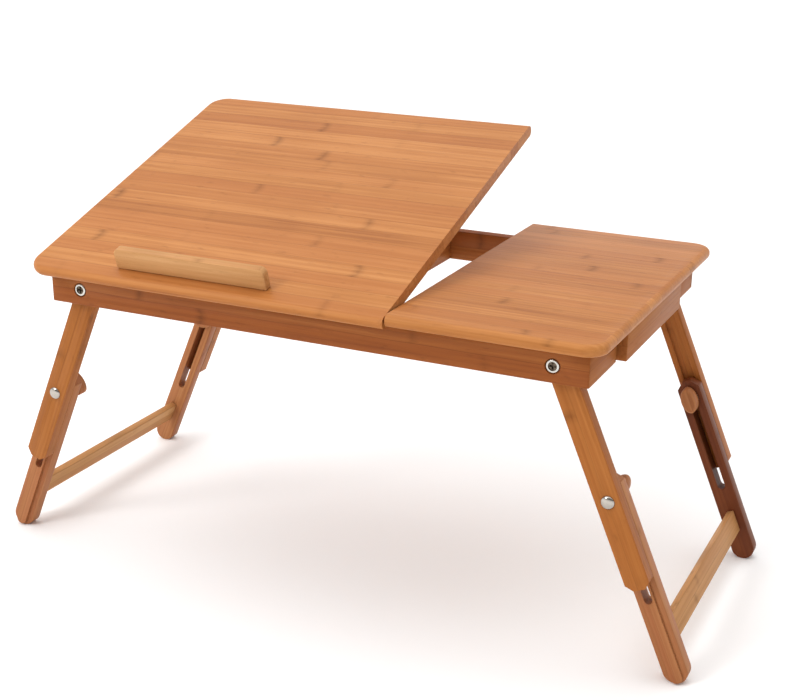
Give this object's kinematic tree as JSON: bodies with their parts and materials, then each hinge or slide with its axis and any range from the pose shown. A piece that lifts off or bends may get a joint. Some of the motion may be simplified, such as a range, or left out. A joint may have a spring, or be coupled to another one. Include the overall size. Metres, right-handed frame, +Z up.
{
  "type": "folding tray table",
  "caption": "Wooden folding bed tray table with a tilting panel and its stop bar, a fixed side shelf, a small end drawer and sliding legs that fold under the frame.",
  "frame": {"origin": "centre of the overall footprint, on the surface the four feet stand on", "axes": "+X along the length towards the drawer end, +Y from the hinged front edge to the back, +Z up"},
  "size_m": [0.706, 0.3514, 0.4017],
  "materials": {
    "board": "satin lacquered caramel bamboo, long strips",
    "rail": "satin lacquered dark caramel bamboo",
    "leg": "satin lacquered bamboo, strips along the leg",
    "pale": "satin lacquered light bamboo",
    "steel": "bright zinc plated"
  },
  "bodies": {
    "frame": {"front_rail": "rail", "back_rail": "rail", "left_end_rail": "rail", "right_end_front": "rail", "right_end_back": "rail", "centre_rail": "rail", "drawer_runner_front": "rail", "drawer_runner_back": "rail", "fixed_top": "board", "prop_rack_left": "rail", "prop_rack_right": "rail", "hinge_leaf_rail_left": "steel", "hinge_leaf_rail_right": "steel", "hinge_pin_left": "steel", "hinge_pin_right": "steel", "pivot_bolt_left_front": "steel", "pivot_nut_left_front": "steel", "pivot_bolt_left_back": "steel", "pivot_nut_left_back": "steel", "pivot_bolt_right_front": "steel", "pivot_nut_right_front": "steel", "pivot_bolt_right_back": "steel", "pivot_nut_right_back": "steel"},
    "tilt_panel": {"tilt_top": "board", "hinge_leaf_top_left": "steel", "hinge_leaf_top_right": "steel", "prop_block_left": "rail", "prop_block_right": "rail", "prop_pivot_rod": "steel"},
    "prop": {"prop_strut": "pale", "prop_foot_rod": "steel"},
    "ledge": {"stop_bar": "pale"},
    "drawer": {"drawer_front": "board", "drawer_back": "pale", "drawer_side_front": "pale", "drawer_side_back": "pale", "drawer_bottom": "pale"},
    "left_upper_legs": {"upper_leg_left_front": "leg", "upper_leg_left_back": "leg", "clamp_bolt_left_front": "steel", "clamp_bolt_left_back": "steel"},
    "left_lower_legs": {"lower_leg_left_front": "leg", "lower_leg_left_back": "leg", "crossbar_left": "pale"},
    "knob_left_front": {"clamp_knob_left_front": "pale", "clamp_washer_left_front": "steel"},
    "knob_left_back": {"clamp_knob_left_back": "pale", "clamp_washer_left_back": "steel"},
    "right_upper_legs": {"upper_leg_right_front": "leg", "upper_leg_right_back": "leg", "clamp_bolt_right_front": "steel", "clamp_bolt_right_back": "steel"},
    "right_lower_legs": {"lower_leg_right_front": "leg", "lower_leg_right_back": "leg", "crossbar_right": "pale"},
    "knob_right_front": {"clamp_knob_right_front": "pale", "clamp_washer_right_front": "steel"},
    "knob_right_back": {"clamp_knob_right_back": "pale", "clamp_washer_right_back": "steel"}
  },
  "joints": [
    {"name": "left_leg_fold", "type": "hinge", "parent": "frame", "child": "left_upper_legs", "pos_m": [-0.229, 0.00067, 0.273], "axis": [0, -1, 0], "range_deg": [0, 103.4]},
    {"name": "left_leg_extend", "type": "slide", "parent": "left_upper_legs", "child": "left_lower_legs", "axis": [0.3959, 0, 0.9183], "range_m": [0, 0.093]},
    {"name": "knob_left_front_turn", "type": "hinge", "parent": "left_upper_legs", "child": "knob_left_front", "pos_m": [-0.2779, -0.11533, 0.15959], "axis": [0, 1, 0], "continuous": true},
    {"name": "knob_left_back_turn", "type": "hinge", "parent": "left_upper_legs", "child": "knob_left_back", "pos_m": [-0.2779, 0.11667, 0.15959], "axis": [0, 1, 0], "continuous": true},
    {"name": "right_leg_fold", "type": "hinge", "parent": "frame", "child": "right_upper_legs", "pos_m": [0.229, 0.00067, 0.273], "axis": [0, 1, 0], "range_deg": [0, 103.4]},
    {"name": "right_leg_extend", "type": "slide", "parent": "right_upper_legs", "child": "right_lower_legs", "axis": [-0.3959, 0, 0.9183], "range_m": [0, 0.093]},
    {"name": "knob_right_front_turn", "type": "hinge", "parent": "right_upper_legs", "child": "knob_right_front", "pos_m": [0.2779, -0.11533, 0.15959], "axis": [0, 1, 0], "continuous": true},
    {"name": "knob_right_back_turn", "type": "hinge", "parent": "right_upper_legs", "child": "knob_right_back", "pos_m": [0.2779, 0.11667, 0.15959], "axis": [0, 1, 0], "continuous": true},
    {"name": "panel_tilt", "type": "hinge", "parent": "frame", "child": "tilt_panel", "pos_m": [-0.094, -0.16183, 0.2892], "axis": [1, 0, 0], "range_deg": [-17.86, 17.14]},
    {"name": "prop_swing", "type": "hinge", "parent": "tilt_panel", "child": "prop", "pos_m": [-0.092, -0.01697, 0.32873], "axis": [1, 0, 0], "range_deg": [-45.3, 47.2]},
    {"name": "ledge_lift", "type": "slide", "parent": "tilt_panel", "child": "ledge", "axis": [0, -0.3067, 0.9518], "range_m": [0, 0.03]},
    {"name": "drawer_slide", "type": "slide", "parent": "frame", "child": "drawer", "axis": [1, 0, 0], "range_m": [0, 0.12]}
  ],
  "couplings": [
    {"joint": "prop_swing", "follows": "panel_tilt", "ratio": -2.637}
  ]
}
